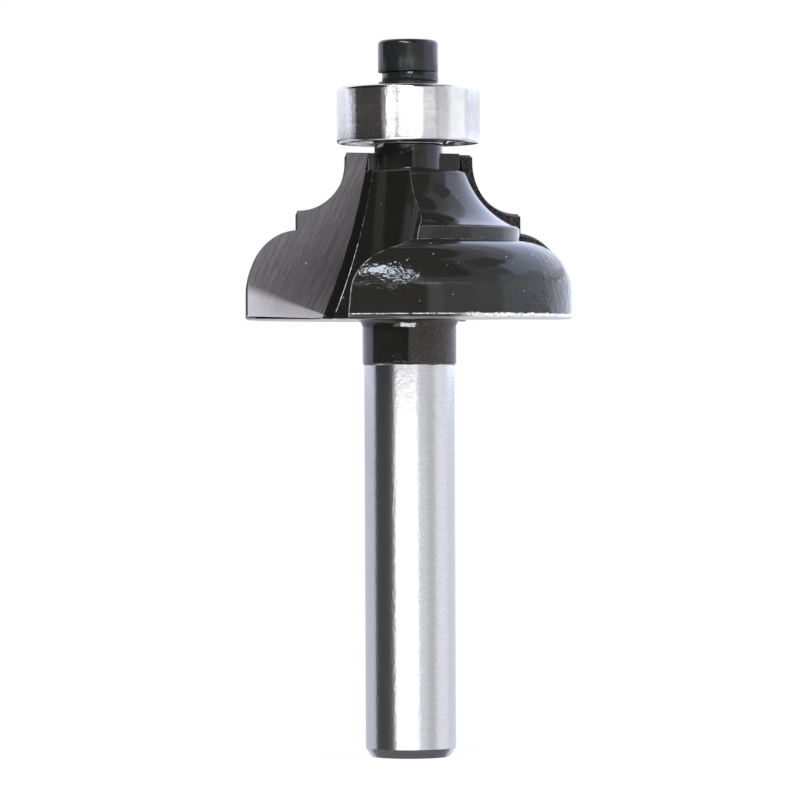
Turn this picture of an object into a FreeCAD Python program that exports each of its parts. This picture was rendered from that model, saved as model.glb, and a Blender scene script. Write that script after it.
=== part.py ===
import FreeCAD, Part
import math
import os

from FreeCAD import Placement, Rotation, Vector

# A two-flute ogee router bit with a ball-bearing pilot, cutting edges up.
# The origin is the centre of the shank's end face and +Z runs up the axis.
# Seen along +Y, the first cutting edge is on the left and leans to the front.
# Lengths are in millimetres and angles in degrees.

# Shank and neck
SHANK_DIAMETER = 8.0
SHANK_LENGTH = 34.7
SHANK_CHAMFER_HEIGHT = 0.8
SHANK_CHAMFER_DEPTH = 0.55
NECK_DIAMETER = 8.35
NECK_LENGTH = 4.05
NECK_FILLET = 0.7

# Cutting profile: an edge land, a bead, a small step and a cove
CUTTER_DIAMETER = 32.0
EDGE_LAND = 2.65
BEAD_RADIUS = 5.15
STEP_INSET = 0.25
STEP_HEIGHT = 1.7
COVE_FLAT = 0.1
COVE_RADIUS = 4.8
TOP_LAND = 0.4
FOOT_RISE = 0.25

# Steel head behind the edges: how far it stays inside the cutting profile
HEAD_SETBACK = 1.5
HEAD_STEP_SETBACK = 1.28
HEAD_TOP_SETBACK = 1.0
HEAD_BEAD_RADIUS = 4.5
HEAD_BEAD_DROP = 0.32
HEAD_STEP_FLAT = 0.18
HEAD_STEP_RISE = 1.28
HEAD_COVE_RADIUS = 7.25
HEAD_TOP_DROP = 1.6
HEAD_TOP_ROUND = 0.4
HEAD_STEP_ROUND = 0.15
HEAD_RIM_CHAMFER = 0.12
COLLAR_FILLET = 0.3

# Carbide tips, brazed to the trailing side of each gullet
BLADE_COUNT = 2
BLADE_AZIMUTH = 208.4
TIP_THICKNESS = 2.0
TIP_RELIEF_ANGLE = 22.5
TIP_AXIAL_RELIEF_ANGLE = 10.0
TIP_ROOT_TOP_RADIUS = 4.05
TIP_ROOT_MIDDLE_RADIUS = 5.85
TIP_ROOT_BOTTOM_RADIUS = 8.75
SEAT_OVERCUT = 0.3

# Gullets, from below the head, through its middle, to above it: the radius of the
# root corner on the rake plane, and how deep the root bows towards the axis
GULLET_CORNERS = (8.1, 4.9, 3.2)
GULLET_BOWS = (0.60, 0.35, 0.15)
GULLET_OVERCUT = 1.0

# The gullet's far wall at the head's top: points along and off the rake plane,
# and how far they drift for each millimetre further down
GULLET_FLANK = (2.12, 6.02)
GULLET_BELLY = (3.00, 9.40)
GULLET_LIP = (5.39, 10.95)
GULLET_LIP_ANGLE = -7.0
GULLET_DRIFT = (0.158, -0.086)
GULLET_REACH_SPARE = 4.0

# Collar under the bearing, and the spigot that carries it
COLLAR_DIAMETER = 6.04
COLLAR_STANDOFF = 0.88
BEARING_FIT = 0.006
SPIGOT_SHORTFALL = 0.28
SPIGOT_CHAMFER = 0.25

# Pilot bearing
BEARING_BORE = 4.762
BEARING_DIAMETER = 12.7
BEARING_WIDTH = 4.978
BEARING_CORNER = 0.3
BORE_CORNER = 0.14
INNER_RING_DIAMETER = 7.2
OUTER_LAND_DIAMETER = 10.25
BALL_DIAMETER = 2.381
BALL_COUNT = 7
BALL_CLEARANCE = 0.03
GROOVE_RADIUS = 1.25

# Shields pressed into the outer ring
SHIELD_SEAT_DIAMETER = 11.42
SHIELD_RECESS = 0.25
SHIELD_THICKNESS = 0.2
SHIELD_RIM_HEIGHT = 0.45
SHIELD_GAP = 0.14
SHIELD_NOTCHES = 10
SHIELD_NOTCH_WIDTH = 0.5

# Riveted ribbon cage
CAGE_SHEET = 0.18
CAGE_BAND = 0.95
CAGE_POCKET_CLEARANCE = 0.05
RIVET_DIAMETER = 0.36
RIVET_HEAD_DIAMETER = 0.6
RIVET_HEAD_HEIGHT = 0.1
RIVET_CLEARANCE = 0.02

# Shim and split spring washer under the screw head
SHIM_DIAMETER = 5.3
SHIM_THICKNESS = 0.48
SPRING_WASHER_DIAMETER = 5.04
SPRING_WASHER_THICKNESS = 0.86
SPRING_WASHER_SHIFT = 0.18
WASHER_HOLE_DIAMETER = 3.34
WASHER_EDGE_ROUND = 0.12
SPLIT_WIDTH = 0.22
SPLIT_ANGLE = 35.0
SPLIT_AZIMUTH = 274.0

# Socket-head cap screw
SCREW_HEAD_DIAMETER = 5.36
SCREW_HEAD_HEIGHT = 2.86
SCREW_HEAD_ROUND = 0.4
SCREW_HEAD_FOOT = 0.12
SCREW_THREAD_DIAMETER = 2.9
SCREW_LENGTH = 10.0
SCREW_POINT_CHAMFER = 0.35
SOCKET_ACROSS_FLATS = 2.5
SOCKET_DEPTH = 1.6
SOCKET_MOUTH = 0.15
SOCKET_SIDES = 6
SCREW_CLEARANCE = 0.05
TAPPED_HOLE_SPARE = 1.2
DRILL_POINT_ANGLE = 118.0

ORIGIN = Vector(0, 0, 0)
UP = Vector(0, 0, 1)
PROFILE_NORMAL = Vector(0, -1, 0)
FULL_TURN = 360.0
FRONT = -90.0
SAME_POINT = 1e-7

# Levels up the axis, and the radii that follow from the profile
NECK_START = SHANK_LENGTH
HEAD_BASE = SHANK_LENGTH + NECK_LENGTH
BEAD_CENTRE_Z = HEAD_BASE + EDGE_LAND
BEAD_CENTRE_R = CUTTER_DIAMETER / 2 - BEAD_RADIUS
STEP_R = BEAD_CENTRE_R + STEP_INSET
STEP_FOOT_Z = BEAD_CENTRE_Z + math.sqrt(BEAD_RADIUS ** 2 - STEP_INSET ** 2)
COVE_FLOOR_Z = STEP_FOOT_Z + STEP_HEIGHT
COVE_CENTRE_R = STEP_R - COVE_FLAT
COVE_CENTRE_Z = COVE_FLOOR_Z + COVE_RADIUS
TOP_R = COVE_CENTRE_R - COVE_RADIUS
BLADE_TOP_Z = COVE_CENTRE_Z + TOP_LAND
HEAD_TOP_Z = BLADE_TOP_Z - HEAD_TOP_DROP
BEARING_BASE = BLADE_TOP_Z + COLLAR_STANDOFF
BEARING_MIDDLE = BEARING_BASE + BEARING_WIDTH / 2
BEARING_TOP = BEARING_BASE + BEARING_WIDTH
SPIGOT_TOP = BEARING_TOP - SPIGOT_SHORTFALL
SHIM_TOP = BEARING_TOP + SHIM_THICKNESS
SPRING_WASHER_TOP = SHIM_TOP + SPRING_WASHER_THICKNESS
PITCH_RADIUS = (BEARING_BORE + BEARING_DIAMETER) / 4
RIVET_AZIMUTH = FRONT + FULL_TURN / BALL_COUNT / 2


class Outline:
    """A closed outline drawn edge by edge in one plane."""

    def __init__(self, start):
        self.start = start
        self.end = start
        self.edges = []

    def line(self, point):
        """Draws a straight edge to a point."""
        self.edges.append(Part.LineSegment(self.end, point).toShape())
        self.end = point
        return self

    def arc(self, middle, point):
        """Draws an arc through a middle point to an end point."""
        self.edges.append(Part.Arc(self.end, middle, point).toShape())
        self.end = point
        return self

    def bend(self, point, radius):
        """Draws an arc of a given radius that bows to the left of its run."""
        run = point - self.end
        rise = radius - math.sqrt(radius ** 2 - (run.Length / 2) ** 2)
        left = PROFILE_NORMAL.cross(run)
        left.normalize()
        return self.arc(self.end + run * 0.5 + left * rise, point)

    def wire(self):
        """Closes the outline."""
        if (self.end - self.start).Length > SAME_POINT:
            self.line(self.start)
        return Part.Wire(self.edges)

    def face(self):
        """Fills the closed outline."""
        return Part.Face(self.wire())


def rz(radius, height):
    """A point of a turned profile."""
    return Vector(radius, 0, height)


def turned(outline):
    """The solid turned from a profile about the axis."""
    return outline.face().revolve(ORIGIN, UP, FULL_TURN)


def ring(inner, outer, bottom, top):
    """A plain ring between two radii and two heights."""
    return turned(Outline(rz(inner, bottom)).line(rz(outer, bottom)).line(rz(outer, top)).line(rz(inner, top)))


def spun(shape, angle):
    """A copy turned about the axis."""
    copy = shape.copy()
    copy.Placement = Placement(ORIGIN, Rotation(UP, angle)).multiply(copy.Placement)
    return copy


def around(shape, count):
    """Copies spaced evenly about the axis, the first one in place."""
    return [spun(shape, FULL_TURN / count * index) for index in range(count)]


def cutting_outline(inner, inset, drop):
    """The cutting profile, closed along a vertical line at the inner radius.

    Inset moves the edges towards the axis and drop moves them down, with the base kept.
    """
    land_r = CUTTER_DIAMETER / 2 - inset
    bead_r = BEAD_CENTRE_R - inset
    bead_z = BEAD_CENTRE_Z - drop
    foot = math.asin(STEP_INSET / BEAD_RADIUS)
    half = (math.pi / 2 - foot) / 2
    cove_r = COVE_CENTRE_R - inset
    cove_z = COVE_CENTRE_Z - drop
    cove_mid = COVE_RADIUS * math.sqrt(0.5)
    outline = Outline(rz(inner, HEAD_BASE))
    outline.line(rz(land_r, HEAD_BASE + FOOT_RISE))
    outline.line(rz(land_r, bead_z))
    outline.arc(
        rz(bead_r + BEAD_RADIUS * math.cos(half), bead_z + BEAD_RADIUS * math.sin(half)),
        rz(STEP_R - inset, STEP_FOOT_Z - drop),
    )
    outline.line(rz(STEP_R - inset, COVE_FLOOR_Z - drop))
    outline.line(rz(cove_r, COVE_FLOOR_Z - drop))
    outline.arc(rz(cove_r - cove_mid, cove_z - cove_mid), rz(TOP_R - inset, cove_z))
    outline.line(rz(TOP_R - inset, BLADE_TOP_Z - drop))
    outline.line(rz(inner, BLADE_TOP_Z - drop))
    return outline


def head_blank():
    """The turned steel: shank, neck, head, collar and spigot in one profile."""
    shank_r = SHANK_DIAMETER / 2
    neck_r = NECK_DIAMETER / 2
    head_r = CUTTER_DIAMETER / 2 - HEAD_SETBACK
    bead_r = head_r - HEAD_BEAD_RADIUS
    bead_z = BEAD_CENTRE_Z - HEAD_BEAD_DROP
    step_r = STEP_R - HEAD_STEP_SETBACK
    step_foot = bead_z + HEAD_BEAD_RADIUS
    step_top = step_foot + HEAD_STEP_RISE
    top_r = TOP_R - HEAD_TOP_SETBACK
    collar_r = COLLAR_DIAMETER / 2
    spigot_r = BEARING_BORE / 2 - BEARING_FIT
    diagonal = math.sqrt(0.5)
    profile = Outline(rz(0, 0))
    profile.line(rz(shank_r - SHANK_CHAMFER_DEPTH, 0))
    profile.line(rz(shank_r, SHANK_CHAMFER_HEIGHT))
    profile.line(rz(shank_r, NECK_START))
    profile.line(rz(neck_r, NECK_START + (neck_r - shank_r)))
    profile.line(rz(neck_r, HEAD_BASE - NECK_FILLET))
    profile.arc(
        rz(neck_r + NECK_FILLET * (1 - diagonal), HEAD_BASE - NECK_FILLET * (1 - diagonal)),
        rz(neck_r + NECK_FILLET, HEAD_BASE),
    )
    profile.line(rz(head_r - HEAD_RIM_CHAMFER, HEAD_BASE))
    profile.line(rz(head_r, HEAD_BASE + HEAD_RIM_CHAMFER))
    profile.line(rz(head_r, bead_z))
    profile.arc(
        rz(bead_r + HEAD_BEAD_RADIUS * diagonal, bead_z + HEAD_BEAD_RADIUS * diagonal),
        rz(bead_r, step_foot),
    )
    profile.line(rz(step_r, step_foot))
    profile.line(rz(step_r, step_top - HEAD_STEP_ROUND))
    profile.line(rz(step_r - HEAD_STEP_ROUND, step_top))
    profile.bend(rz(top_r, HEAD_TOP_Z - HEAD_TOP_ROUND), HEAD_COVE_RADIUS)
    profile.arc(
        rz(top_r - HEAD_TOP_ROUND * (1 - diagonal), HEAD_TOP_Z - HEAD_TOP_ROUND * (1 - diagonal)),
        rz(top_r - HEAD_TOP_ROUND, HEAD_TOP_Z),
    )
    profile.line(rz(collar_r + COLLAR_FILLET, HEAD_TOP_Z))
    profile.arc(
        rz(collar_r + COLLAR_FILLET * (1 - diagonal), HEAD_TOP_Z + COLLAR_FILLET * (1 - diagonal)),
        rz(collar_r, HEAD_TOP_Z + COLLAR_FILLET),
    )
    profile.line(rz(collar_r, BEARING_BASE))
    profile.line(rz(spigot_r, BEARING_BASE))
    profile.line(rz(spigot_r, SPIGOT_TOP - SPIGOT_CHAMFER))
    profile.line(rz(spigot_r - SPIGOT_CHAMFER, SPIGOT_TOP))
    profile.line(rz(0, SPIGOT_TOP))
    return turned(profile)


def tapped_hole():
    """The blind hole for the screw, with a drill point and a countersunk mouth."""
    hole_r = SCREW_THREAD_DIAMETER / 2 + SCREW_CLEARANCE
    bottom = SPRING_WASHER_TOP - SCREW_LENGTH - TAPPED_HOLE_SPARE
    point = hole_r / math.tan(math.radians(DRILL_POINT_ANGLE / 2))
    outline = Outline(rz(0, bottom - point))
    outline.line(rz(hole_r, bottom))
    outline.line(rz(hole_r, SPIGOT_TOP - SPIGOT_CHAMFER))
    outline.line(rz(hole_r + SPIGOT_CHAMFER, SPIGOT_TOP))
    outline.line(rz(hole_r + SPIGOT_CHAMFER, SPIGOT_TOP + SPIGOT_CHAMFER))
    outline.line(rz(0, SPIGOT_TOP + SPIGOT_CHAMFER))
    return turned(outline)


def gullet_section(height, corner_radius, bow):
    """One level section of a gullet, with its rake plane along +X.

    It runs along the rake plane to the root corner, over a bowed root to the far
    flank, round the belly and out past the lip.
    """
    reach = CUTTER_DIAMETER / 2 + GULLET_REACH_SPARE
    below = HEAD_TOP_Z - height
    drift = Vector(GULLET_DRIFT[0] * below, GULLET_DRIFT[1] * below, 0)

    def at(point):
        return Vector(point[0], point[1], height) + drift

    corner = Vector(corner_radius, 0, height)
    flank = at(GULLET_FLANK)
    run = flank - corner
    inward = UP.cross(run)
    inward.normalize()
    lip = at(GULLET_LIP)
    out = reach - lip.x
    lip_end = lip + Vector(out, out * math.tan(math.radians(GULLET_LIP_ANGLE)), 0)
    section = Outline(Vector(reach, 0, height))
    section.line(corner)
    section.arc(corner + run * 0.5 + inward * bow, flank)
    section.arc(at(GULLET_BELLY), lip)
    section.line(lip_end)
    return section.wire()


def gullet():
    """The chip space in front of the first blade, before it is turned to its place."""
    levels = (HEAD_BASE - GULLET_OVERCUT, (HEAD_BASE + BLADE_TOP_Z) / 2, BLADE_TOP_Z + GULLET_OVERCUT)
    stations = zip(levels, GULLET_CORNERS, GULLET_BOWS)
    return Part.makeLoft([gullet_section(*station) for station in stations], True, False)


def tip_seat(front):
    """Everything outward of a tip's curved inner edge, from its back plane to the front."""
    low = HEAD_BASE - SEAT_OVERCUT
    high = BLADE_TOP_Z + SEAT_OVERCUT
    middle = (HEAD_BASE + BLADE_TOP_Z) / 2
    outline = Outline(Vector(TIP_ROOT_BOTTOM_RADIUS, -TIP_THICKNESS, HEAD_BASE))
    outline.arc(
        Vector(TIP_ROOT_MIDDLE_RADIUS, -TIP_THICKNESS, middle),
        Vector(TIP_ROOT_TOP_RADIUS, -TIP_THICKNESS, BLADE_TOP_Z),
    )
    outline.line(Vector(TIP_ROOT_TOP_RADIUS, -TIP_THICKNESS, high))
    outline.line(Vector(CUTTER_DIAMETER, -TIP_THICKNESS, high))
    outline.line(Vector(CUTTER_DIAMETER, -TIP_THICKNESS, low))
    outline.line(Vector(TIP_ROOT_BOTTOM_RADIUS, -TIP_THICKNESS, low))
    return outline.face().extrude(Vector(0, TIP_THICKNESS + front, 0))


def carbide_tip():
    """A tip with its rake face on y = 0, relieved behind every cutting edge."""
    inner = TIP_ROOT_TOP_RADIUS / 2
    inset = TIP_THICKNESS * math.tan(math.radians(TIP_RELIEF_ANGLE))
    drop = TIP_THICKNESS * math.tan(math.radians(TIP_AXIAL_RELIEF_ANGLE))
    front = cutting_outline(inner, 0, 0).wire()
    back = cutting_outline(inner, inset, drop).wire()
    back.translate(Vector(0, -TIP_THICKNESS, 0))
    blank = Part.makeLoft([front, back], True, True)
    return blank.common(tip_seat(0))


def top_rib():
    """The narrow rib that carries a tip's top, from the collar to the tip."""
    base = HEAD_TOP_Z - HEAD_TOP_ROUND
    corner = Vector(0, -TIP_THICKNESS, base)
    return Part.makeBox(TIP_ROOT_TOP_RADIUS, TIP_THICKNESS, BLADE_TOP_Z - base, corner)


def cutter_body():
    """The steel body with its gullets, tip seats, ribs and tapped hole."""
    body = head_blank()
    body = body.fuse(around(spun(top_rib(), BLADE_AZIMUTH), BLADE_COUNT))
    cuts = around(spun(gullet(), BLADE_AZIMUTH), BLADE_COUNT)
    cuts += around(spun(tip_seat(SEAT_OVERCUT), BLADE_AZIMUTH), BLADE_COUNT)
    cuts.append(tapped_hole())
    return body.cut(cuts).removeSplitter()


def chamfered_ring(inner, outer, bottom, top, bore_corner, rim_corner):
    """A ring profile with chamfers at its bore and rim."""
    outline = Outline(rz(inner + bore_corner, bottom))
    outline.line(rz(outer - rim_corner, bottom))
    outline.line(rz(outer, bottom + rim_corner))
    outline.line(rz(outer, top - rim_corner))
    outline.line(rz(outer - rim_corner, top))
    outline.line(rz(inner + bore_corner, top))
    outline.line(rz(inner, top - bore_corner))
    outline.line(rz(inner, bottom + bore_corner))
    return turned(outline)


def race_groove(centre_r):
    """The torus that a ball track is ground to."""
    return Part.makeTorus(centre_r, GROOVE_RADIUS, Vector(0, 0, BEARING_MIDDLE), UP)


def bearing_inner_ring():
    """The inner ring with its ball track."""
    groove_floor = PITCH_RADIUS - BALL_DIAMETER / 2 - BALL_CLEARANCE
    blank = chamfered_ring(
        BEARING_BORE / 2, INNER_RING_DIAMETER / 2, BEARING_BASE, BEARING_TOP, BORE_CORNER, BORE_CORNER
    )
    return blank.cut(race_groove(groove_floor + GROOVE_RADIUS))


def bearing_outer_ring():
    """The outer ring, rounded outside, with its ball track and two shield seats."""
    outer = BEARING_DIAMETER / 2
    land = OUTER_LAND_DIAMETER / 2
    seat = SHIELD_SEAT_DIAMETER / 2
    seat_depth = SHIELD_RECESS + SHIELD_RIM_HEIGHT
    corner = BEARING_CORNER
    cut = corner * (1 - math.sqrt(0.5))
    groove_floor = PITCH_RADIUS + BALL_DIAMETER / 2 + BALL_CLEARANCE
    outline = Outline(rz(seat, BEARING_BASE))
    outline.line(rz(outer - corner, BEARING_BASE))
    outline.arc(rz(outer - cut, BEARING_BASE + cut), rz(outer, BEARING_BASE + corner))
    outline.line(rz(outer, BEARING_TOP - corner))
    outline.arc(rz(outer - cut, BEARING_TOP - cut), rz(outer - corner, BEARING_TOP))
    outline.line(rz(seat, BEARING_TOP))
    outline.line(rz(seat, BEARING_TOP - seat_depth))
    outline.line(rz(land, BEARING_TOP - seat_depth))
    outline.line(rz(land, BEARING_BASE + seat_depth))
    outline.line(rz(seat, BEARING_BASE + seat_depth))
    return turned(outline).cut(race_groove(groove_floor - GROOVE_RADIUS))


def shield(face, inward):
    """A dished shield; face is the bearing's face and inward is +1 or -1 along the axis."""
    seat = SHIELD_SEAT_DIAMETER / 2
    hole = INNER_RING_DIAMETER / 2 + SHIELD_GAP
    outside = face + SHIELD_RECESS * inward
    rim_end = outside + SHIELD_RIM_HEIGHT * inward
    inside = outside + SHIELD_THICKNESS * inward
    outline = Outline(rz(hole, outside))
    outline.line(rz(seat, outside))
    outline.line(rz(seat, rim_end))
    outline.line(rz(seat - SHIELD_THICKNESS, rim_end))
    outline.line(rz(seat - SHIELD_THICKNESS, inside))
    outline.line(rz(hole, inside))
    notch = Part.makeCylinder(
        SHIELD_NOTCH_WIDTH / 2, SHIELD_THICKNESS, Vector(seat, 0, min(outside, inside)), UP
    )
    return turned(outline).cut(around(spun(notch, FRONT), SHIELD_NOTCHES))


def ball(index):
    """One bearing ball on the pitch circle."""
    return Part.makeSphere(BALL_DIAMETER / 2, ball_centre(index))


def ball_centre(index):
    """The centre of a ball, counted round from the front."""
    angle = math.radians(FRONT + FULL_TURN / BALL_COUNT * index)
    return Vector(PITCH_RADIUS * math.cos(angle), PITCH_RADIUS * math.sin(angle), BEARING_MIDDLE)


def cage_rivet_holes(radius):
    """Pins through both cage halves, midway between the balls."""
    length = 2 * BALL_DIAMETER
    pin = Part.makeCylinder(radius, length, Vector(PITCH_RADIUS, 0, BEARING_MIDDLE - length / 2), UP)
    return around(spun(pin, RIVET_AZIMUTH), BALL_COUNT)


def cage_half(side):
    """One pressed half of the ribbon cage; side is +1 for the upper and -1 for the lower."""
    pocket = BALL_DIAMETER / 2 + CAGE_POCKET_CLEARANCE
    inner = PITCH_RADIUS - CAGE_BAND / 2
    outer = PITCH_RADIUS + CAGE_BAND / 2
    reach = pocket + CAGE_SHEET
    centres = [ball_centre(index) for index in range(BALL_COUNT)]
    low = min(0, side * reach)
    band = ring(inner, outer, BEARING_MIDDLE + low, BEARING_MIDDLE + low + reach)
    flat_low = BEARING_MIDDLE + min(0, side * CAGE_SHEET)
    half = ring(inner, outer, flat_low, flat_low + CAGE_SHEET)
    domes = [Part.makeSphere(reach, centre).common(band) for centre in centres]
    half = half.fuse(domes)
    half = half.cut([Part.makeSphere(pocket, centre) for centre in centres])
    return half.cut(cage_rivet_holes(RIVET_DIAMETER / 2 + RIVET_CLEARANCE))


def cage_rivets():
    """The rivets that close the cage, as separate solids of one node."""
    stem_r = RIVET_DIAMETER / 2
    head_r = RIVET_HEAD_DIAMETER / 2
    end = CAGE_SHEET + RIVET_HEAD_HEIGHT
    outline = Outline(rz(0, -end))
    outline.line(rz(head_r, -end))
    outline.line(rz(head_r, -CAGE_SHEET))
    outline.line(rz(stem_r, -CAGE_SHEET))
    outline.line(rz(stem_r, CAGE_SHEET))
    outline.line(rz(head_r, CAGE_SHEET))
    outline.line(rz(head_r, end))
    outline.line(rz(0, end))
    rivet = turned(outline)
    rivet.translate(Vector(PITCH_RADIUS, 0, BEARING_MIDDLE))
    return Part.makeCompound(around(spun(rivet, RIVET_AZIMUTH), BALL_COUNT))


def shim_washer():
    """The thin flat washer on the bearing's inner ring."""
    return ring(WASHER_HOLE_DIAMETER / 2, SHIM_DIAMETER / 2, BEARING_TOP, SHIM_TOP)


def spring_washer():
    """The split washer, pressed flat by the screw, with its slanted gap at the front."""
    blank = chamfered_ring(
        WASHER_HOLE_DIAMETER / 2,
        SPRING_WASHER_DIAMETER / 2,
        SHIM_TOP,
        SPRING_WASHER_TOP,
        WASHER_EDGE_ROUND / 2,
        WASHER_EDGE_ROUND,
    )
    length = SPRING_WASHER_DIAMETER
    height = 2 * SPRING_WASHER_DIAMETER
    middle = (SHIM_TOP + SPRING_WASHER_TOP) / 2
    cut = Part.makeBox(length, SPLIT_WIDTH, height, Vector(0, -SPLIT_WIDTH / 2, -height / 2))
    cut.Placement = Placement(Vector(0, 0, middle), Rotation(Vector(1, 0, 0), SPLIT_ANGLE))
    washer = blank.cut(spun(cut, SPLIT_AZIMUTH))
    washer.translate(Vector(SPRING_WASHER_SHIFT, 0, 0))
    return washer


def cap_screw():
    """The socket-head cap screw; its thread is left plain."""
    head_r = SCREW_HEAD_DIAMETER / 2
    stem_r = SCREW_THREAD_DIAMETER / 2
    foot = SPRING_WASHER_TOP
    top = foot + SCREW_HEAD_HEIGHT
    end = foot - SCREW_LENGTH
    cut = SCREW_HEAD_ROUND * (1 - math.sqrt(0.5))
    socket_flat = SOCKET_ACROSS_FLATS / 2
    socket_r = socket_flat / math.cos(math.pi / SOCKET_SIDES)
    outline = Outline(rz(0, end))
    outline.line(rz(stem_r - SCREW_POINT_CHAMFER, end))
    outline.line(rz(stem_r, end + SCREW_POINT_CHAMFER))
    outline.line(rz(stem_r, foot))
    outline.line(rz(head_r - SCREW_HEAD_FOOT, foot))
    outline.line(rz(head_r, foot + SCREW_HEAD_FOOT))
    outline.line(rz(head_r, top - SCREW_HEAD_ROUND))
    outline.arc(rz(head_r - cut, top - cut), rz(head_r - SCREW_HEAD_ROUND, top))
    outline.line(rz(socket_r + SOCKET_MOUTH, top))
    outline.line(rz(socket_r, top - SOCKET_MOUTH))
    outline.line(rz(0, top - SOCKET_MOUTH))
    floor = top - SOCKET_DEPTH
    turns = [2 * math.pi / SOCKET_SIDES * index for index in range(SOCKET_SIDES)]
    corners = [Vector(socket_r * math.cos(turn), socket_r * math.sin(turn), floor) for turn in turns]
    socket = Part.Face(Part.makePolygon(corners + corners[:1])).extrude(Vector(0, 0, SOCKET_DEPTH))
    point = socket_flat / math.tan(math.radians(DRILL_POINT_ANGLE / 2))
    drilled = Part.makeCone(0, socket_flat, point, Vector(0, 0, floor - point), UP)
    return turned(outline).cut([socket, drilled])


def pieces():
    """Every node of the assembly by name."""
    made = {"cutter_body": cutter_body()}
    tip = spun(carbide_tip(), BLADE_AZIMUTH)
    for index, placed in enumerate(around(tip, BLADE_COUNT)):
        made[f"carbide_tip_{index + 1}"] = placed
    made["bearing_inner_ring"] = bearing_inner_ring()
    made["bearing_outer_ring"] = bearing_outer_ring()
    made["shield_lower"] = shield(BEARING_BASE, 1)
    made["shield_upper"] = shield(BEARING_TOP, -1)
    for index in range(BALL_COUNT):
        made[f"ball_{index + 1}"] = ball(index)
    made["cage_lower"] = cage_half(-1)
    made["cage_upper"] = cage_half(1)
    made["cage_rivets"] = cage_rivets()
    made["shim_washer"] = shim_washer()
    made["spring_washer"] = spring_washer()
    made["cap_screw"] = cap_screw()
    return made


os.makedirs("parts", exist_ok=True)
for name, shape in pieces().items():
    shape.exportStep(f"parts/{name}.step")
    print(name, len(shape.Solids), shape.isValid(), round(shape.Volume, 3))
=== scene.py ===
"""The looks of a two-flute ogee router bit with a ball-bearing pilot, cutting edges up."""

import logging
import math
from dataclasses import dataclass
from enum import Enum
from typing import Any

import bpy
import numpy as np
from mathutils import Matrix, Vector
from mathutils.bvhtree import BVHTree


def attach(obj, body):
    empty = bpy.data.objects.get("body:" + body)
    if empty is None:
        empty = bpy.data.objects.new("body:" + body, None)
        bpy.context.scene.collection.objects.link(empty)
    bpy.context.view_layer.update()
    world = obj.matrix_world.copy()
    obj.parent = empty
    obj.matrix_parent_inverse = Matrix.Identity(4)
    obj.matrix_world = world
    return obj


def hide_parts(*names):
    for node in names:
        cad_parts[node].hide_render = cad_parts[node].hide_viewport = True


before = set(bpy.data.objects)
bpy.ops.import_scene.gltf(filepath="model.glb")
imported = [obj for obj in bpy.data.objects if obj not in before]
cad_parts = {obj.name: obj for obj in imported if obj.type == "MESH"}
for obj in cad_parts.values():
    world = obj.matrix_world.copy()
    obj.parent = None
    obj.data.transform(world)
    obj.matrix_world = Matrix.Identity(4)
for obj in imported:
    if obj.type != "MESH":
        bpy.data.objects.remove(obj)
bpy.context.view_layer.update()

log = logging.getLogger("router_bit")

Material = bpy.types.Material
Piece = bpy.types.Object

MM = 0.001
PER_MM = 1000.0
BLADE_AZIMUTH = math.radians(208.4)
# Heights above the shank's foot and the neck's radius, in millimetres.
SHANK_TOP = 34.7
HEAD_BASE = 38.75
HEAD_TOP = 51.84
BEAD_MIDDLE = 41.4
BEARING_BASE = 54.32
BEARING_TOP = 59.30
NECK_RADIUS = 4.175
# How a pattern's coordinates shrink to draw it out along the axis.
DRAWN_UPRIGHT = (1.0, 1.0, 0.4)
SHARP_ANGLE = math.radians(40.0)
# A Mix node's factor and its two colours, and the colour that it gives.
MIX_INPUTS = (0, 6, 7)
MIX_OUTPUT = 2
COAT_INDEX = 1.5


class Shape(Enum):
    """How a grid of points closes on itself."""

    ROUND = "round"
    RING = "ring"


class Field:
    """A shader value that takes Python's operators and adds its own Math nodes."""

    def __init__(self, book: "NodeBook", socket: Any) -> None:
        """Keeps the node book and the socket that holds the value."""
        self.book = book
        self.socket = socket

    def maths(self, operation: str, *values: Any) -> "Field":
        """Adds one Math node on numbers or fields, given in order."""
        return self.book.add("ShaderNodeMath", {"operation": operation}, dict(enumerate(values)))

    def __add__(self, other: Any) -> "Field":
        """Adds a number or a field."""
        return self.maths("ADD", self, other)

    def __sub__(self, other: Any) -> "Field":
        """Takes away a number or a field."""
        return self.maths("SUBTRACT", self, other)

    def __rsub__(self, other: Any) -> "Field":
        """Takes this value from a number."""
        return self.maths("SUBTRACT", other, self)

    def __mul__(self, other: Any) -> "Field":
        """Multiplies by a number or a field."""
        return self.maths("MULTIPLY", self, other)

    def __truediv__(self, other: Any) -> "Field":
        """Divides by a number or a field."""
        return self.maths("DIVIDE", self, other)

    def __pow__(self, other: Any) -> "Field":
        """Raises to a power."""
        return self.maths("POWER", self, other)

    __radd__ = __add__
    __rmul__ = __mul__

    def size(self) -> "Field":
        """The value without its sign."""
        return self.maths("ABSOLUTE", self)

    def most(self, other: Any) -> "Field":
        """The larger of this value and another."""
        return self.maths("MAXIMUM", self, other)

    def least(self, other: Any) -> "Field":
        """The smaller of this value and another."""
        return self.maths("MINIMUM", self, other)

    def rise(self, low: float, high: float) -> "Field":
        """A smooth step from 0 at the first value to 1 at the second."""
        settings = {"interpolation_type": "SMOOTHSTEP", "clamp": True}
        values = {"Value": self, "From Min": low, "From Max": high}
        return self.book.add("ShaderNodeMapRange", settings, values)

    def fall(self, low: float, high: float) -> "Field":
        """A smooth step from 1 at the first value to 0 at the second."""
        return 1 - self.rise(low, high)

    def window(self, start: float, full: float, fade: float, end: float) -> "Field":
        """A smooth rise over the first two values and a smooth fall over the last two."""
        return self.rise(start, full) * self.fall(fade, end)


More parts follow.
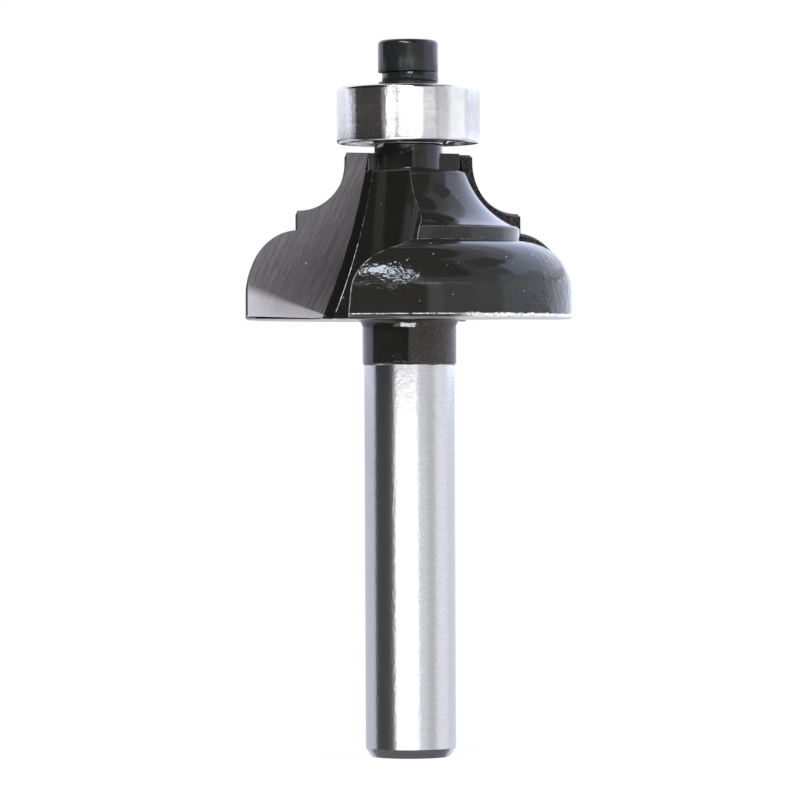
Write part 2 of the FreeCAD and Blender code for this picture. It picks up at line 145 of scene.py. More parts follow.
class NodeBook:
    """The nodes of one material or world, all made by one method."""

    def __init__(self, owner: Any) -> None:
        """Keeps the material or world and empties its node tree."""
        owner.use_nodes = True
        self.owner = owner
        self.tree = owner.node_tree
        self.tree.nodes.clear()

    def node(self, kind: str, settings: dict, values: dict) -> Any:
        """Adds any node: its settings first, then the values or links of its inputs.

        Args:
            kind: The node's type name.
            settings: Attributes set on the node.
            values: Input name or number to a plain value or a field.

        Returns:
            The node.
        """
        node = self.tree.nodes.new(kind)
        for key, value in settings.items():
            setattr(node, key, value)
        for key, value in values.items():
            if isinstance(value, Field):
                self.tree.links.new(value.socket, node.inputs[key])
            else:
                node.inputs[key].default_value = value
        return node

    def add(self, kind: str, settings: dict, values: dict, output: str | int = 0) -> Field:
        """Adds a node in the same way and gives the chosen output as a field."""
        return Field(self, self.node(kind, settings, values).outputs[output])

    def end(self, kind: str, shader: Field) -> Any:
        """Sends a shader to an output node of a kind and gives the material or world."""
        self.node(kind, {}, {"Surface": shader})
        return self.owner


class MaterialBook(NodeBook):
    """One material's nodes, with the coordinates that its patterns are laid out in."""

    def __init__(self, name: str) -> None:
        """Starts an empty material and splits its object coordinates, in millimetres."""
        super().__init__(bpy.data.materials.new(name))
        place = self.add("ShaderNodeTexCoord", {}, {}, "Object")
        self.place = self.scaled(place, (PER_MM, PER_MM, PER_MM))
        split = self.node("ShaderNodeSeparateXYZ", {}, {"Vector": self.place})
        self.x, self.y, self.z = (Field(self, split.outputs[axis]) for axis in "XYZ")
        self.radius = self.measure("LENGTH", self.scaled(self.place, (1.0, 1.0, 0.0)))

    def measure(self, operation: str, *vectors: Field) -> Field:
        """A number worked out by Vector Math from one or two vectors."""
        settings = {"operation": operation}
        return self.add("ShaderNodeVectorMath", settings, dict(enumerate(vectors)), "Value")

    def scaled(self, vector: Field, factors: tuple) -> Field:
        """A vector with each part multiplied."""
        return self.add("ShaderNodeVectorMath", {"operation": "MULTIPLY"}, {0: vector, 1: factors})

    def combine(self, x: Any, y: Any, z: Any) -> Field:
        """A vector from three values."""
        return self.add("ShaderNodeCombineXYZ", {}, {"X": x, "Y": y, "Z": z})

    def on_blades(self) -> tuple[Field, Field]:
        """The signed distances along the blades' common line and across it."""
        along = self.x * math.cos(BLADE_AZIMUTH) + self.y * math.sin(BLADE_AZIMUTH)
        return along, self.y * math.cos(BLADE_AZIMUTH) - self.x * math.sin(BLADE_AZIMUTH)

    def noise(
        self, scale: float, detail: float = 2.0, place: Field | None = None, roughness: float = 0.5
    ) -> Field:
        """Soft noise, with its scale in patches per millimetre."""
        place = place or self.place
        values = {"Vector": place, "Scale": scale, "Detail": detail, "Roughness": roughness}
        return self.add("ShaderNodeTexNoise", {}, values)

    def dots(self, scale: float, size: float, share: float) -> Field:
        """Small round specks, at most one to a cell.

        Args:
            scale: Cells per millimetre.
            size: A speck's radius as a share of its cell.
            share: The share of the cells that keep their speck.

        Returns:
            1 inside the specks.
        """
        values = {"Vector": self.place, "Scale": scale, "Randomness": 1.0}
        cells = self.node("ShaderNodeTexVoronoi", {}, values)
        near = Field(self, cells.outputs["Distance"])
        draw = Field(self, cells.outputs["Color"])
        pick = self.add("ShaderNodeSeparateColor", {}, {"Color": draw})
        return near.fall(size * 0.5, size) * pick.rise(1 - share, 1 - share + 0.02)

    def tint(self, mask: Field, low: Any, high: Any) -> Field:
        """A colour between two by a mask, where a colour is a field or three numbers."""
        ends = [(*end, 1.0) if isinstance(end, tuple) else end for end in (low, high)]
        values = dict(zip(MIX_INPUTS, (mask, *ends)))
        return self.add("ShaderNodeMix", {"data_type": "RGBA"}, values, MIX_OUTPUT)

    def bump(
        self, height: Field, distance: float, strength: float = 1.0, normal: Field | None = None
    ) -> Field:
        """A bumped normal, on an earlier one if given; the distance is in millimetres."""
        values = {"Height": height, "Distance": distance * MM, "Strength": strength}
        earlier = {} if normal is None else {"Normal": normal}
        return self.add("ShaderNodeBump", {}, values | earlier)

    def normal(self) -> Field:
        """The surface's own normal."""
        return self.add("ShaderNodeNewGeometry", {}, {}, "Normal")

    def edge(self, radius: float) -> Field:
        """How sharply the surface turns within a radius in millimetres, from 0 to about 1."""
        eased = self.add("ShaderNodeBevel", {"samples": 6}, {"Radius": radius * MM})
        return 1 - self.measure("DOT_PRODUCT", eased, self.normal())

    def facing_down(self) -> Field:
        """1 where the surface faces straight down."""
        upward = self.add("ShaderNodeSeparateXYZ", {}, {"Vector": self.normal()}, "Z")
        return upward.fall(-0.95, -0.85)

    def turning_away(self) -> Field:
        """How far the normal leans round the axis, from 0 on a turned face to 1."""
        round_axis = self.combine(0 - self.y, self.x, 0.0)
        return (self.measure("DOT_PRODUCT", self.normal(), round_axis) / self.radius).size()

    def surface(
        self, colour: Field, metallic: Any, roughness: Any, normal: Field | None = None
    ) -> Field:
        """Adds one Principled shader from numbers or fields."""
        values = {"IOR": COAT_INDEX, "Base Color": colour, "Metallic": metallic, "Roughness": roughness}
        bumped = {} if normal is None else {"Normal": normal}
        return self.add("ShaderNodeBsdfPrincipled", {}, values | bumped)

    def finish(self, shader: Field) -> Material:
        """Sends a shader to the material's surface and gives the material."""
        return self.end("ShaderNodeOutputMaterial", shader)


@dataclass(frozen=True)
class Blotch:
    """A tilted box on the bit's front, in millimetres of x and z.

    The tilt is how far its middle line rises for each millimetre of x.
    """

    across: float
    up: float
    tilt: float
    half_width: float
    half_height: float

    def reach(self, book: MaterialBook) -> Field:
        """The distance from the box's middle, which is 1 on its outline."""
        aside = book.x - self.across
        above = book.z - self.up - aside * self.tilt
        return (aside.size() / self.half_width).most(above.size() / self.half_height)


@dataclass(frozen=True)
class PaintedSteel:
    """Gloss black paint over a steel body, bare below the paint line and under the head.

    Heights and radii are in millimetres. A pair says where a change starts and ends,
    and four values are a rise and a fall.
    """

    paint: tuple = (0.0125, 0.0125, 0.0115)
    worn: tuple = (0.72, 0.71, 0.70)
    # Bright steel colour for the worn rim and collar patch, also used for the painted neck highlight and
    # the painted reflection on the rim's right side.
    rim: tuple = (0.86, 0.86, 0.87)
    bare: tuple = (0.78, 0.78, 0.79)
    brown: tuple = (0.060, 0.045, 0.038)
    # Painted shade in the gullets: a darker matt colour with no reflection, laid over the milled floors
    # at this share.
    gullet_shade_colour: tuple = (0.0085, 0.0085, 0.0080)
    gullet_shade_share: float = 0.96
    line_wave: float = 0.22
    line_softness: float = 0.04
    rim_height: float = 39.03
    rim_radius: tuple = (8.0, 9.0)
    edge_radius: float = 0.16
    neck: tuple = (SHANK_TOP, SHANK_TOP + 0.2, HEAD_BASE - 0.5, HEAD_BASE)
    gullets: tuple = (HEAD_BASE, HEAD_BASE + 0.2, HEAD_TOP, HEAD_TOP + 0.2)
    gullet_reach: tuple = (4.1, 5.1)
    cove_foot: tuple = (45.75, 45.9, 47.6, 47.8)
    cove_top: tuple = (49.5, 50.0, 51.9, 52.0)
    # A painted highlight on the neck's fillet, drawn as a ragged bright patch.
    painted_neck_highlight: Blotch = Blotch(-0.1, 38.205, -0.05, 0.78, 0.19)
    # A bright patch at the top of the collar's front left.
    collar_bright_patch: Blotch = Blotch(-2.62, 54.054, 0.3, 0.42, 0.15)
    folds_at: tuple = (-2.2, 42.4)
    folds_shrink: tuple = (0.36, 0.8)

    def gullet_floor(self, book: MaterialBook) -> Field:
        """Finds the milled faces just ahead of either rake plane, which don't turn with the axis.

        Args:
            book: The material's nodes.

        Returns:
            1 on those faces.
        """
        along, across = book.on_blades()
        ahead = across * along.maths("SIGN")
        milled = book.turning_away().rise(0.10, 0.25)
        return milled * ahead.fall(*self.gullet_reach) * book.z.window(*self.gullets)

    def worn_places(self, book: MaterialBook, patchy: Field, fine: Field) -> Field:
        """How much steel shows through on rubbed edges, in chips and in specks.

        Args:
            book: The material's nodes.
            patchy: Broad noise that decides where edges are worn.
            fine: Fine noise that frays them.

        Returns:
            From 0 on whole paint to 0.8.
        """
        rim = book.z.fall(HEAD_BASE + 0.12, HEAD_BASE + 0.35) * book.radius.rise(*self.rim_radius)
        step = book.z.window(*self.cove_foot) + book.z.window(*self.cove_top) * 0.7
        reach = patchy * 0.75 + fine * 0.35 + rim * 0.5
        reach = reach + step * 0.22 * book.y.fall(-3.0, -2.0)
        worn = (book.edge(self.edge_radius) * 2.4 * reach.rise(0.42, 0.72)).rise(0.20, 0.55)
        worn = worn * book.z.rise(HEAD_BASE - 0.6, HEAD_BASE)
        chips = book.noise(2.3, 5.0, roughness=0.7).rise(0.735, 0.75) * fine.rise(0.45, 0.55)
        specks = book.dots(0.9, 0.085, 0.42).most(book.dots(2.1, 0.10, 0.17))
        return (worn * 0.8).most(chips * 0.8).most(specks * 0.55)

    def worn_and_painted_marks(self, book: MaterialBook, patchy: Field, fine: Field) -> Field:
        """The worn rim, a painted rim reflection, a painted neck highlight and a bright collar patch.

        Args:
            book: The material's nodes.
            patchy: Broad noise that breaks the rim's line.
            fine: Fine noise that frays it.

        Returns:
            From 0 on whole paint to 1.
        """
        frayed = book.noise(3.2, 4.0, roughness=0.7) - 0.5
        above = book.z - self.rim_height + frayed * 0.10
        line = above.size().fall(0.02, 0.055) * (fine * 0.6 + patchy * 0.4).rise(0.43, 0.53)
        # Painted reflection: the rim's lower edge is painted brighter on its right side only.
        band = (above + frayed * 0.5 - 0.05).fall(-0.04, 0.05) * book.x.rise(3.5, 6.5)
        band = band * (fine + patchy * 0.3).rise(0.46, 0.60)
        rim = line.most(band) * book.radius.rise(*self.rim_radius)
        # Painted highlight: a ragged bright patch on the neck's fillet.
        painted_neck_highlight = (self.painted_neck_highlight.reach(book) + frayed * 1.3).fall(0.78, 0.88)
        painted_neck_highlight = painted_neck_highlight * book.y.fall(-3.0, -2.5) * book.radius.fall(6.0, 6.5)
        # A bright patch at the top of the collar, on its front left.
        collar_bright_patch = (self.collar_bright_patch.reach(book) + frayed * 1.5).fall(0.75, 0.95)
        return rim.most(painted_neck_highlight).most(collar_bright_patch * book.y.fall(-1.5, -1.0) * 0.75)

    def paint_skin(self, book: MaterialBook, mottled: Field) -> Field:
        """The paint's normal: pebbled all over, with wrinkles round one spot on the bead.

        Args:
            book: The material's nodes.
            mottled: Where the neck's paint is rough.

        Returns:
            The normal.
        """
        pebbles = book.noise(1.5, 1.0) * 0.7 + book.noise(4.5, 0.5) * 0.3
        coarse = 0.10 + book.x.rise(8.5, 13.0) * 1.1
        skin = book.bump(pebbles * coarse + mottled * 0.5, 0.055)
        aside = (book.x - self.folds_at[0]) * self.folds_shrink[0]
        above = (book.z - self.folds_at[1]) * self.folds_shrink[1]
        spot = (aside.size() ** 2 + above.size() ** 2).fall(0.4, 1.8) * book.y.fall(-8.0, -6.0)
        folds = book.noise(1.9, 1.5, book.scaled(book.place, (1.0, 1.0, 1.6))) - 0.5
        wrinkle = folds * spot * (0.5 + book.x.rise(-3.2, -1.0) * 0.7)
        return book.bump(wrinkle, 0.085, normal=skin)

    def build(self) -> Material:
        """Mixes paint, worn edges, specks, bare ground steel, painted highlights and painted shade by
        place.
        """
        book = MaterialBook("painted_steel")
        patchy = book.noise(1.3, 4.0, roughness=0.65)
        fine = book.noise(9.0, 3.0)
        under = book.facing_down() * book.z.rise(HEAD_BASE - 0.4, HEAD_BASE - 0.2)
        under = under * book.radius.rise(NECK_RADIUS + 0.5, NECK_RADIUS + 0.8)
        hidden = book.z.rise(BEARING_BASE - 0.02, BEARING_BASE)
        wave = (book.noise(0.55, 3.0) - 0.5) * (2 * self.line_wave)
        line = SHANK_TOP - self.line_softness, SHANK_TOP + self.line_softness
        bare = (book.z + wave).fall(*line).most(under).most(hidden)
        show = self.worn_places(book, patchy, fine)
        marks = self.worn_and_painted_marks(book, patchy, fine)

        neck = book.z.window(*self.neck)
        stained = book.noise(7.0, 4.0, roughness=0.75).rise(0.42, 0.56)
        mottled = neck * book.x.rise(-0.2, 1.0) * stained
        ground = book.noise(1.0, 3.0, book.scaled(book.place, (1.2, 1.2, 60.0)))
        steel = book.tint(ground.rise(0.35, 0.65), tuple(0.86 * part for part in self.bare), self.bare)
        colour = book.tint(mottled * 0.8, self.paint, self.brown)
        colour = book.tint(show.least(1.0), colour, self.worn)
        # These marks are worn steel plus a painted highlight and a painted reflection.
        colour = book.tint(marks * (0.25 + fine).least(0.9), colour, self.rim)
        colour = book.tint(bare, colour, steel)

        smooth = neck.most(book.z.rise(HEAD_TOP - 0.1, HEAD_TOP + 0.2))
        gloss = 0.045 + (0.035 + book.noise(0.8, 3.0) * 0.07) * (1 - smooth) + mottled * 0.22
        metal = (show.rise(0.25, 0.6) * 0.6) * (1 - marks)
        roughness = gloss * (1 - metal) + metal * 0.34
        roughness = roughness * (1 - bare) + bare * (0.17 + ground * 0.10 + under * 0.2)

        turning = book.noise(1.0, 2.0, book.combine(book.radius * 22.0, book.z * 26.0, 0.0))
        upright = book.noise(4.6, 1.0, book.scaled(book.place, DRAWN_UPRIGHT))
        grinding = (turning * 0.35 + upright * (1 - under)) * bare
        grain = book.bump(grinding, 0.010, normal=self.paint_skin(book, mottled))
        normal = book.bump((1 - show) * (1 - bare), 0.03, 0.6, normal=grain)

        glossy = book.surface(colour, metal.most(bare), roughness, normal)
        # Painted shade: the gullets' milled floors are painted darker and lose their reflection.
        gullet_shade_settings = {"Specular IOR Level": 0.0, "Base Color": (*self.gullet_shade_colour, 1.0), "Roughness": 0.7}
        gullet_shade_shader = book.add("ShaderNodeBsdfPrincipled", {}, gullet_shade_settings)
        gullet_shade = self.gullet_floor(book) * (1 - show.most(bare).most(marks)) * self.gullet_shade_share
        return book.finish(book.add("ShaderNodeMixShader", {}, {0: gullet_shade, 1: glossy, 2: gullet_shade_shader}))


@dataclass(frozen=True)
class GroundCarbide:
    """Tungsten carbide with slanted grinding marks and a painted reflection on its lower corner.

    The corner's line starts at its foot, which is a radius and a height, and climbs
    outwards with its slope. The flank is what lies off the rake plane.
    """

    dark: tuple = (0.172, 0.160, 0.164)
    # The painted reflection's light colour on the lower corner.
    light: tuple = (0.300, 0.278, 0.284)
    corner: tuple = (1.0, 0.97, 1.0)
    nick: tuple = (0.8, 0.8, 0.8)
    flank_dark: tuple = (0.022, 0.021, 0.022)
    flank_light: tuple = (0.105, 0.098, 0.100)
    flank_from: tuple = (0.03, 0.06)
    slant: float = math.radians(28.0)
    corner_foot: tuple = (9.0, 39.3)
    corner_slope: float = 0.31

    def build(self) -> Material:
        """Lays the marks out on the rake plane, whose radius runs along the blade."""
        book = MaterialBook("ground_carbide")
        reach, depth = book.on_blades()
        along = reach.size()
        across = along * math.cos(self.slant) + book.z * math.sin(self.slant)
        down = book.z * math.cos(self.slant) - along * math.sin(self.slant)
        broad = book.noise(1.0, 4.0, book.combine(across * 3.0, down * 0.12, depth), 0.6)
        narrow = book.noise(1.0, 3.0, book.combine(across * 19.0, down * 0.6, depth), 0.7)
        marks = broad * 0.36 + narrow * 0.64

        # Painted reflection: below this line the lower corner is painted lighter, and is also a little
        # less rough.
        outward = along - self.corner_foot[0]
        line = book.z - self.corner_foot[1] - outward * self.corner_slope
        soft = outward.rise(0.0, 7.0) * 0.8 + 0.08
        painted_reflection_zone = (line / soft).fall(-1.0, 0.6)
        painted_reflection_streaks = painted_reflection_zone * (0.84 + marks.rise(0.40, 0.58) * 0.16)

        flank = depth.size().rise(*self.flank_from)
        mottled = book.noise(5.0, 4.0, roughness=0.7).rise(0.40, 0.62)
        colour = book.tint(marks.rise(0.38, 0.62), self.dark, self.light)
        colour = book.tint(painted_reflection_streaks, colour, self.corner)
        colour = book.tint(book.dots(0.7, 0.10, 0.35) * 0.7, colour, self.nick)
        rough_flank = book.tint(mottled, self.flank_dark, self.flank_light)
        colour = book.tint(flank * (1 - book.facing_down()), colour, rough_flank)
        roughness = 0.46 - painted_reflection_zone * 0.1 + (marks - 0.5) * 0.25 + flank * 0.35
        return book.finish(book.surface(colour, 0.9, roughness, book.bump(marks, 0.006)))


@dataclass(frozen=True)
class TurnedSteel:
    """Ground or polished steel with marks round the axis.

    The tone is the colour of the metal, the grain how deep the marks are, and the
    texture how grainy the surface looks between them.
    """

    name: str
    tone: tuple
    roughness: float
    grain: float
    texture: float
    speck: tuple = (0.16, 0.15, 0.15)

    def build(self) -> Material:
        """Fine rings by height, with an upright grain over them and a few dark specks."""
        book = MaterialBook(self.name)
        rings = book.noise(1.0, 3.0, book.combine(book.radius * 18.0, 0.0, book.z * 30.0))
        skin = book.noise(4.6, 1.2, book.scaled(book.place, DRAWN_UPRIGHT))
        stain = book.noise(0.7, 3.0).rise(0.3, 0.7)
        specks = book.dots(1.6, 0.08, 0.22)
        colour = book.tint(stain, tuple(0.9 * part for part in self.tone), self.tone)
        colour = book.tint(specks * 0.5, colour, self.speck)
        roughness = self.roughness + (skin - 0.5) * 0.18 + specks * 0.2
        grain = book.bump(skin, 0.014 * self.texture)
        normal = book.bump(rings, self.grain * 0.01, normal=grain)
        return book.finish(book.surface(colour, 1.0, roughness, normal))


@dataclass(frozen=True)
class BlackOxide:
    """Heat-blackened steel with rubbed bright edges."""

    base: tuple = (0.0115, 0.0120, 0.0122)
    rubbed: tuple = (0.45, 0.45, 0.47)
    edge_radius: float = 0.10

    def build(self) -> Material:
        """A dark satin skin with small bright rubs and specks."""
        book = MaterialBook("black_oxide")
        patchy = book.noise(1.7, 4.0, roughness=0.65)
        rubbed = (book.edge(self.edge_radius) * 1.6 * patchy.rise(0.50, 0.68)).rise(0.25, 0.6)
        show = rubbed.most(book.dots(1.3, 0.07, 0.22) * 0.6)
        colour = book.tint(show, self.base, self.rubbed)
        roughness = 0.17 + (book.noise(6.0, 3.0) - 0.5) * 0.12
        normal = book.bump(book.noise(5.0, 1.0), 0.008)
        return book.finish(book.surface(colour, show.rise(0.3, 0.7), roughness, normal))


@dataclass(frozen=True)
class SilverBraze:
    """The thin silver line of braze left in a gullet's root corner."""

    silver: tuple = (0.80, 0.79, 0.77)
    covered: tuple = (0.012, 0.012, 0.013)
    fades_over: tuple = (HEAD_BASE + 4.6, HEAD_BASE + 7.0)

    def build(self) -> Material:
        """Bright where the paint has gone, mostly in the lower half."""
        book = MaterialBook("silver_braze")
        low = book.z.fall(*self.fades_over)
        shown = (book.noise(2.4, 4.0, roughness=0.7) + low * 0.34).rise(0.53, 0.62)
        colour = book.tint(shown, self.covered, self.silver)
        return book.finish(book.surface(colour, shown, 0.32))


def place_mesh(name: str, points: np.ndarray, faces: list) -> Piece:
    """Makes a mesh object and links it to the scene.

    Args:
        name: The object's name.
        points: An array of points by 3, in millimetres.
        faces: The corners of each face, by number.

    Returns:
        The object.
    """
    mesh = bpy.data.meshes.new(name)
    mesh.from_pydata((points * MM).tolist(), [], faces)
    piece = bpy.data.objects.new(name, mesh)
    bpy.context.scene.collection.objects.link(piece)
    return piece


def place_grid(name: str, points: np.ndarray, shape: Shape) -> Piece:
    """Makes a mesh from a grid of points, with quads between neighbours.

    Columns always close round. A ROUND grid has its first and last rows closed by
    one pole each, and a RING grid joins its last row to its first.

    Args:
        name: The piece's name.
        points: An array of rows by columns by 3, in millimetres.
        shape: How the grid closes.

    Returns:
        The piece, smooth shaded and linked to the scene.
    """
    rows, columns = points.shape[:2]
    vertices = points.reshape(-1, 3)
    index = np.arange(rows * columns).reshape(rows, columns)
    if shape is Shape.RING:
        lower, upper = index, np.roll(index, -1, axis=0)
    else:
        lower, upper = index[:-1], index[1:]
    beside = np.roll(lower, -1, axis=1)
    above = np.roll(upper, -1, axis=1)
    faces = np.dstack([lower, beside, above, upper]).reshape(-1, 4).tolist()
    if shape is Shape.ROUND:
        ends = np.array([points[0].mean(axis=0), points[-1].mean(axis=0)])
        vertices = np.vstack([vertices, ends])
        first, last = rows * columns, rows * columns + 1
        start, stop = index[0], index[-1]
        foot = [np.full(columns, first), np.roll(start, -1), start]
        head = [np.full(columns, last), stop, np.roll(stop, -1)]
        faces += np.column_stack(foot).tolist() + np.column_stack(head).tolist()
    piece = place_mesh(name, vertices, faces)
    piece.data.polygons.foreach_set("use_smooth", np.ones(len(piece.data.polygons), bool))
    piece.data.update()
    return piece


def dress(piece: Piece, material: Material) -> None:
    """Puts one material on a piece in place of what it had."""
    piece.data.materials.clear()
    piece.data.materials.append(material)


def dress_node(name: str, material: Material) -> None:
    """Puts a material in every slot of a CAD node's object."""
    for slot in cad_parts[name].material_slots:
        slot.material = material


@dataclass
class CutterHead:
    """The steel body, its two carbide tips and the braze in the gullets' roots.

    Each of the braze's swells has a share of its radius, a rate per millimetre of
    height and a shift, both in radians.
    """

    blades: int = 2
    braze_low: float = HEAD_BASE + 0.15
    braze_high: float = HEAD_TOP - 0.3
    braze_radius: float = 0.034
    braze_swells: tuple = ((0.12, 5.3, 0.0), (0.10, 12.1, 1.0), (0.08, 23.7, 0.0))
    braze_rows: int = 140
    braze_columns: int = 10
    rake_offset: float = 0.03
    ray_start: float = 20.0
    ray_count: int = 24

    def root_line(self) -> np.ndarray:
        """Finds the root corner of the first gullet, where rays along the rake face meet the body.

        Returns:
            Rows of radius along the blade and height, in millimetres.
        """
        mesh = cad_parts["cutter_body"].data
        faces = [tuple(polygon.vertices) for polygon in mesh.polygons]
        tree = BVHTree.FromPolygons([vertex.co for vertex in mesh.vertices], faces)
        along = Vector((math.cos(BLADE_AZIMUTH), math.sin(BLADE_AZIMUTH), 0))
        lead = Vector((-math.sin(BLADE_AZIMUTH), math.cos(BLADE_AZIMUTH), 0))
        outside = along * (self.ray_start * MM) + lead * (self.rake_offset * MM)
        found = []
        for height in np.linspace(self.braze_low, self.braze_high, self.ray_count):
            hit = tree.ray_cast(outside + Vector((0, 0, height * MM)), -along)[0]
            if hit is not None:
                found.append((hit.dot(along) * PER_MM, height))
        return np.array(found)

    def braze_line(self, number: int) -> Piece:
        """Makes one gullet's braze as a thin uneven tube along the root corner.

        The line's radius is a cubic in height fitted to the corner. The tube's own
        radius swells and shrinks as a sum of sines of the height, thins upwards, and
        fades to a point at both ends.

        Args:
            number: The gullet, counted from 0 round the axis.

        Returns:
            The tube.
        """
        line = self.root_line()
        curve = np.polynomial.Polynomial.fit(line[:, 1], line[:, 0], 3)
        height = np.linspace(self.braze_low, self.braze_high, self.braze_rows)
        share = (height - height[0]) / (height[-1] - height[0])
        swell = 1 + sum(size * np.sin(height * rate + shift) for size, rate, shift in self.braze_swells)
        fade = np.sqrt(np.clip(1 - (2 * share - 1) ** 8, 0.0004, 1))
        tube = self.braze_radius * swell * fade * (1.15 - 0.6 * share)
        turn = np.linspace(0, 2 * np.pi, self.braze_columns, endpoint=False)
        along = curve(height)[:, None] + tube[:, None] * np.cos(turn)
        lead = tube[:, None] * np.sin(turn)
        azimuth = BLADE_AZIMUTH + 2 * np.pi / self.blades * number
        x = along * np.cos(azimuth) - lead * np.sin(azimuth)
        y = along * np.sin(azimuth) + lead * np.cos(azimuth)
        z = np.broadcast_to(height[:, None], x.shape)
        return place_grid(f"braze_line_{number + 1}", np.dstack([x, y, z]), Shape.ROUND)

    def build(self, paint: Material, carbide: Material, braze: Material) -> None:
        """Dresses the body and tips, and lays the braze lines.

        Args:
            paint: The body's finish.
            carbide: The tips' finish.
            braze: The braze lines' finish.
        """
        dress_node("cutter_body", paint)
        for number in range(self.blades):
            dress_node(f"carbide_tip_{number + 1}", carbide)
            piece = self.braze_line(number)
            dress(piece, braze)
            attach(piece, "cutter")
        log.info("cutter head: body, %d tips, %d braze lines", self.blades, self.blades)


@dataclass
class PilotBearing:
    """The bearing's rings, its crimped shields, and the balls and cage inside."""

    hole: float = 3.74
    seat: float = 5.70
    recess: float = 0.25
    sheet: float = 0.2
    rim: float = 0.45
    step_share: float = 0.45
    step_depth: float = 0.06
    crimps: int = 10
    crimp_width: float = 0.075
    crimp_depth: float = 0.10
    crimp_from: float = 0.30
    crimp_ramp: float = 0.25
    balls: int = 7
    columns: int = 480

    def shield_section(self) -> np.ndarray:
        """The section of a shield as a closed loop of sheet.

        It runs out along the outside face over a shallow pressed step, round the rim,
        and back along the inside.

        Returns:
            Rows of radius and depth below the outside face, in millimetres.
        """
        hole, seat, sheet, rim, deep = self.hole, self.seat, self.sheet, self.rim, self.step_depth
        step = hole + self.step_share * (seat - hole)
        return np.array([
            (hole, 0.04), (hole + 0.05, 0.0), (step - 0.08, 0.0), (step, deep / 2),
            (step + 0.08, deep), (seat - 0.22, deep), (seat - 0.10, 0.05), (seat - 0.02, 0.02),
            (seat, 0.08), (seat, rim), (seat - sheet, rim), (seat - sheet, sheet + 0.08),
            (seat - sheet - 0.1, sheet + 0.02), (step, sheet), (hole, sheet - 0.02),
        ])

    def shield(self, name: str, face: float, inward: int) -> Piece:
        """Makes a dished shield, crimped into its seat at even steps.

        At each crimp the outer edge is pushed in by a bell curve of the angle from
        the crimp.

        Args:
            name: The piece's name.
            face: The height of the bearing's face on that side.
            inward: 1 for the lower shield, whose inside is up, and -1 for the upper.

        Returns:
            The shield.
        """
        section = self.shield_section()
        turn = np.linspace(0, 2 * np.pi, self.columns, endpoint=False)
        pitch = 2 * np.pi / self.crimps
        away = (turn + np.pi / 2 + pitch / 2) % pitch - pitch / 2
        bell = np.exp(-((away / self.crimp_width) ** 2))
        outer = np.clip((section[:, 0] - (self.seat - self.crimp_from)) / self.crimp_ramp, 0, 1)
        outer = outer * (section[:, 1] < self.rim * 0.5)
        depth = section[:, 1][:, None] + self.crimp_depth * outer[:, None] * bell
        radius = np.broadcast_to(section[:, 0][:, None], depth.shape)
        z = face + inward * (self.recess + depth)
        points = np.dstack([radius * np.cos(turn), radius * np.sin(turn), z])
        return place_grid(name, points[:, ::-1] if inward > 0 else points, Shape.RING)

    def build(self, ring: Material, pressed: Material, ball: Material) -> None:
        """Replaces the plain shields and dresses the rings, balls and cage.

        Args:
            ring: The finish of both rings.
            pressed: The finish of the shields, the cage and its rivets.
            ball: The balls' finish.
        """
        faces = ("shield_lower", BEARING_BASE, 1), ("shield_upper", BEARING_TOP, -1)
        for name, face, inward in faces:
            piece = self.shield(f"crimped_{name}", face, inward)
            dress(piece, pressed)
            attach(piece, "pilot")
            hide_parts(name)
        for name in ("bearing_inner_ring", "bearing_outer_ring"):
            dress_node(name, ring)
        for number in range(self.balls):
            dress_node(f"ball_{number + 1}", ball)
        for name in ("cage_lower", "cage_upper", "cage_rivets"):
            dress_node(name, pressed)
        log.info("pilot bearing: 2 rings, 2 shields, %d balls, cage", self.balls)


